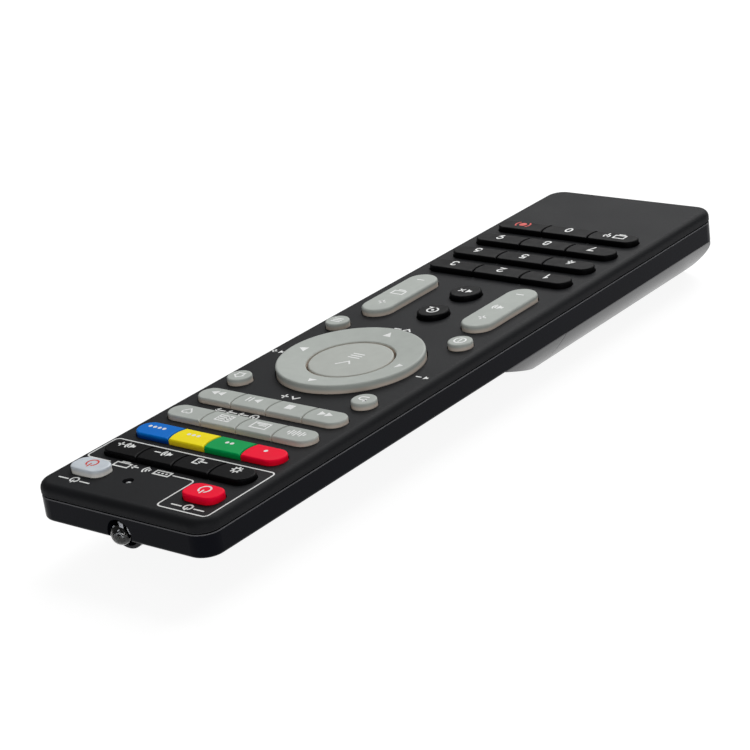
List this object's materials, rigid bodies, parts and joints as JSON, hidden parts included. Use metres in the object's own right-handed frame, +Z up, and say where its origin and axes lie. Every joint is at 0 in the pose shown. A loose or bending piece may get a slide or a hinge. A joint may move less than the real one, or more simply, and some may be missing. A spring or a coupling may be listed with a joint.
{
  "type": "tv box remote control",
  "caption": "Slim handheld infrared remote with rows of rubber keys, a round direction ring, two rockers and a battery hump.",
  "frame": {"origin": "centre of the whole object's box at its bottom, which is the flat underside of the battery cover", "axes": "+Y along the length towards the infrared lamp, +X to the right as read from the tail, +Z up out of the keys"},
  "size_m": [0.05, 0.2004, 0.021],
  "materials": {
    "upper_case_plastic": "fine matte texture",
    "lower_case_plastic": "satin",
    "cover_plastic": "satin",
    "grey_rubber": "matte silicone",
    "black_rubber": "matte silicone",
    "red_rubber": "matte silicone",
    "green_rubber": "matte silicone",
    "yellow_rubber": "matte silicone",
    "blue_rubber": "matte silicone",
    "white_rubber": "translucent silicone",
    "mat_rubber": "matte silicone",
    "board": "solder mask",
    "chip_plastic": "moulded",
    "solder_tin": "tinned can",
    "smoked_lamp": "smoked clear",
    "clear_lamp": "frosted clear",
    "cell_sleeve": "gloss sleeve",
    "contact_steel": "nickel plated",
    "screw_steel": "zinc plated"
  },
  "bodies": {
    "case": {"upper_case": "upper_case_plastic", "lower_case": "lower_case_plastic", "keypad_mat": "mat_rubber", "circuit_board": "board", "controller_chip": "chip_plastic", "resonator": "solder_tin", "capacitor": "chip_plastic", "transistor": "chip_plastic", "resistors": "chip_plastic", "infrared_lamp": "smoked_lamp", "indicator_lamp": "clear_lamp", "battery_cells": "cell_sleeve", "front_contacts": "contact_steel", "bridge_contact": "contact_steel", "case_screws": "screw_steel"},
    "battery_cover": {"battery_cover": "cover_plastic"},
    "ring_web": {"ring_web": "mat_rubber"},
    "direction_ring": {"direction_ring": "grey_rubber"},
    "rocker_left": {"rocker_left": "grey_rubber"},
    "rocker_right": {"rocker_right": "grey_rubber"},
    "power_key_left": {"power_key_left": "red_rubber"},
    "power_key_right": {"power_key_right": "white_rubber"},
    "television_key_1": {"television_key_1": "black_rubber"},
    "television_key_2": {"television_key_2": "black_rubber"},
    "television_key_3": {"television_key_3": "black_rubber"},
    "television_key_4": {"television_key_4": "black_rubber"},
    "colour_key_1": {"colour_key_1": "red_rubber"},
    "colour_key_2": {"colour_key_2": "green_rubber"},
    "colour_key_3": {"colour_key_3": "yellow_rubber"},
    "colour_key_4": {"colour_key_4": "blue_rubber"},
    "menu_key_1": {"menu_key_1": "grey_rubber"},
    "menu_key_2": {"menu_key_2": "grey_rubber"},
    "menu_key_3": {"menu_key_3": "grey_rubber"},
    "menu_key_4": {"menu_key_4": "grey_rubber"},
    "player_key_1": {"player_key_1": "grey_rubber"},
    "player_key_2": {"player_key_2": "grey_rubber"},
    "player_key_3": {"player_key_3": "grey_rubber"},
    "player_key_4": {"player_key_4": "grey_rubber"},
    "number_key_1": {"number_key_1": "black_rubber"},
    "number_key_2": {"number_key_2": "black_rubber"},
    "number_key_3": {"number_key_3": "black_rubber"},
    "number_key_4": {"number_key_4": "black_rubber"},
    "number_key_5": {"number_key_5": "black_rubber"},
    "number_key_6": {"number_key_6": "black_rubber"},
    "number_key_7": {"number_key_7": "black_rubber"},
    "number_key_8": {"number_key_8": "black_rubber"},
    "number_key_9": {"number_key_9": "black_rubber"},
    "source_key": {"source_key": "black_rubber"},
    "number_key_0": {"number_key_0": "black_rubber"},
    "record_key": {"record_key": "black_rubber"},
    "small_key_front_left": {"small_key_front_left": "grey_rubber"},
    "small_key_front_right": {"small_key_front_right": "grey_rubber"},
    "small_key_tail_left": {"small_key_tail_left": "grey_rubber"},
    "small_key_tail_right": {"small_key_tail_right": "grey_rubber"},
    "recordings_key": {"recordings_key": "black_rubber"},
    "mute_key": {"mute_key": "black_rubber"},
    "middle_key": {"middle_key": "grey_rubber"}
  },
  "joints": [
    {"name": "battery_cover_slide", "type": "slide", "parent": "case", "child": "battery_cover", "axis": [0, -1, 0], "range_m": [0, 0.074]},
    {"name": "rocker_left_tip", "type": "hinge", "parent": "case", "child": "rocker_left", "pos_m": [-0.015, -0.0179, 0.01755], "axis": [1, 0, 0], "range_deg": [-2.4, 2.4], "stiffness_Nm_per_rad": 0.25},
    {"name": "rocker_right_tip", "type": "hinge", "parent": "case", "child": "rocker_right", "pos_m": [0.015, -0.0179, 0.01755], "axis": [1, 0, 0], "range_deg": [-2.4, 2.4], "stiffness_Nm_per_rad": 0.25},
    {"name": "ring_tip_up_down", "type": "hinge", "parent": "case", "child": "ring_web", "pos_m": [0, 0.0201, 0.01805], "axis": [1, 0, 0], "range_deg": [-2, 2], "stiffness_Nm_per_rad": 0.4},
    {"name": "ring_tip_left_right", "type": "hinge", "parent": "ring_web", "child": "direction_ring", "pos_m": [0, 0.0201, 0.01805], "axis": [0, 1, 0], "range_deg": [-2, 2], "stiffness_Nm_per_rad": 0.4},
    {"name": "power_key_left_press", "type": "slide", "parent": "case", "child": "power_key_left", "axis": [0, 0, -1], "range_m": [0, 0.0008], "stiffness_N_per_m": 600},
    {"name": "power_key_right_press", "type": "slide", "parent": "case", "child": "power_key_right", "axis": [0, 0, -1], "range_m": [0, 0.0008], "stiffness_N_per_m": 600},
    {"name": "television_key_1_press", "type": "slide", "parent": "case", "child": "television_key_1", "axis": [0, 0, -1], "range_m": [0, 0.0008], "stiffness_N_per_m": 600},
    {"name": "television_key_2_press", "type": "slide", "parent": "case", "child": "television_key_2", "axis": [0, 0, -1], "range_m": [0, 0.0008], "stiffness_N_per_m": 600},
    {"name": "television_key_3_press", "type": "slide", "parent": "case", "child": "television_key_3", "axis": [0, 0, -1], "range_m": [0, 0.0008], "stiffness_N_per_m": 600},
    {"name": "television_key_4_press", "type": "slide", "parent": "case", "child": "television_key_4", "axis": [0, 0, -1], "range_m": [0, 0.0008], "stiffness_N_per_m": 600},
    {"name": "colour_key_1_press", "type": "slide", "parent": "case", "child": "colour_key_1", "axis": [0, 0, -1], "range_m": [0, 0.0008], "stiffness_N_per_m": 600},
    {"name": "colour_key_2_press", "type": "slide", "parent": "case", "child": "colour_key_2", "axis": [0, 0, -1], "range_m": [0, 0.0008], "stiffness_N_per_m": 600},
    {"name": "colour_key_3_press", "type": "slide", "parent": "case", "child": "colour_key_3", "axis": [0, 0, -1], "range_m": [0, 0.0008], "stiffness_N_per_m": 600},
    {"name": "colour_key_4_press", "type": "slide", "parent": "case", "child": "colour_key_4", "axis": [0, 0, -1], "range_m": [0, 0.0008], "stiffness_N_per_m": 600},
    {"name": "menu_key_1_press", "type": "slide", "parent": "case", "child": "menu_key_1", "axis": [0, 0, -1], "range_m": [0, 0.0008], "stiffness_N_per_m": 600},
    {"name": "menu_key_2_press", "type": "slide", "parent": "case", "child": "menu_key_2", "axis": [0, 0, -1], "range_m": [0, 0.0008], "stiffness_N_per_m": 600},
    {"name": "menu_key_3_press", "type": "slide", "parent": "case", "child": "menu_key_3", "axis": [0, 0, -1], "range_m": [0, 0.0008], "stiffness_N_per_m": 600},
    {"name": "menu_key_4_press", "type": "slide", "parent": "case", "child": "menu_key_4", "axis": [0, 0, -1], "range_m": [0, 0.0008], "stiffness_N_per_m": 600},
    {"name": "player_key_1_press", "type": "slide", "parent": "case", "child": "player_key_1", "axis": [0, 0, -1], "range_m": [0, 0.0008], "stiffness_N_per_m": 600},
    {"name": "player_key_2_press", "type": "slide", "parent": "case", "child": "player_key_2", "axis": [0, 0, -1], "range_m": [0, 0.0008], "stiffness_N_per_m": 600},
    {"name": "player_key_3_press", "type": "slide", "parent": "case", "child": "player_key_3", "axis": [0, 0, -1], "range_m": [0, 0.0008], "stiffness_N_per_m": 600},
    {"name": "player_key_4_press", "type": "slide", "parent": "case", "child": "player_key_4", "axis": [0, 0, -1], "range_m": [0, 0.0008], "stiffness_N_per_m": 600},
    {"name": "number_key_1_press", "type": "slide", "parent": "case", "child": "number_key_1", "axis": [0, 0, -1], "range_m": [0, 0.0008], "stiffness_N_per_m": 600},
    {"name": "number_key_2_press", "type": "slide", "parent": "case", "child": "number_key_2", "axis": [0, 0, -1], "range_m": [0, 0.0008], "stiffness_N_per_m": 600},
    {"name": "number_key_3_press", "type": "slide", "parent": "case", "child": "number_key_3", "axis": [0, 0, -1], "range_m": [0, 0.0008], "stiffness_N_per_m": 600},
    {"name": "number_key_4_press", "type": "slide", "parent": "case", "child": "number_key_4", "axis": [0, 0, -1], "range_m": [0, 0.0008], "stiffness_N_per_m": 600},
    {"name": "number_key_5_press", "type": "slide", "parent": "case", "child": "number_key_5", "axis": [0, 0, -1], "range_m": [0, 0.0008], "stiffness_N_per_m": 600},
    {"name": "number_key_6_press", "type": "slide", "parent": "case", "child": "number_key_6", "axis": [0, 0, -1], "range_m": [0, 0.0008], "stiffness_N_per_m": 600},
    {"name": "number_key_7_press", "type": "slide", "parent": "case", "child": "number_key_7", "axis": [0, 0, -1], "range_m": [0, 0.0008], "stiffness_N_per_m": 600},
    {"name": "number_key_8_press", "type": "slide", "parent": "case", "child": "number_key_8", "axis": [0, 0, -1], "range_m": [0, 0.0008], "stiffness_N_per_m": 600},
    {"name": "number_key_9_press", "type": "slide", "parent": "case", "child": "number_key_9", "axis": [0, 0, -1], "range_m": [0, 0.0008], "stiffness_N_per_m": 600},
    {"name": "source_key_press", "type": "slide", "parent": "case", "child": "source_key", "axis": [0, 0, -1], "range_m": [0, 0.0008], "stiffness_N_per_m": 600},
    {"name": "number_key_0_press", "type": "slide", "parent": "case", "child": "number_key_0", "axis": [0, 0, -1], "range_m": [0, 0.0008], "stiffness_N_per_m": 600},
    {"name": "record_key_press", "type": "slide", "parent": "case", "child": "record_key", "axis": [0, 0, -1], "range_m": [0, 0.0008], "stiffness_N_per_m": 600},
    {"name": "small_key_front_left_press", "type": "slide", "parent": "case", "child": "small_key_front_left", "axis": [0, 0, -1], "range_m": [0, 0.0008], "stiffness_N_per_m": 600},
    {"name": "small_key_front_right_press", "type": "slide", "parent": "case", "child": "small_key_front_right", "axis": [0, 0, -1], "range_m": [0, 0.0008], "stiffness_N_per_m": 600},
    {"name": "small_key_tail_left_press", "type": "slide", "parent": "case", "child": "small_key_tail_left", "axis": [0, 0, -1], "range_m": [0, 0.0008], "stiffness_N_per_m": 600},
    {"name": "small_key_tail_right_press", "type": "slide", "parent": "case", "child": "small_key_tail_right", "axis": [0, 0, -1], "range_m": [0, 0.0008], "stiffness_N_per_m": 600},
    {"name": "recordings_key_press", "type": "slide", "parent": "case", "child": "recordings_key", "axis": [0, 0, -1], "range_m": [0, 0.0008], "stiffness_N_per_m": 600},
    {"name": "mute_key_press", "type": "slide", "parent": "case", "child": "mute_key", "axis": [0, 0, -1], "range_m": [0, 0.0008], "stiffness_N_per_m": 600},
    {"name": "middle_key_press", "type": "slide", "parent": "case", "child": "middle_key", "axis": [0, 0, -1], "range_m": [0, 0.0008], "stiffness_N_per_m": 600}
  ]
}
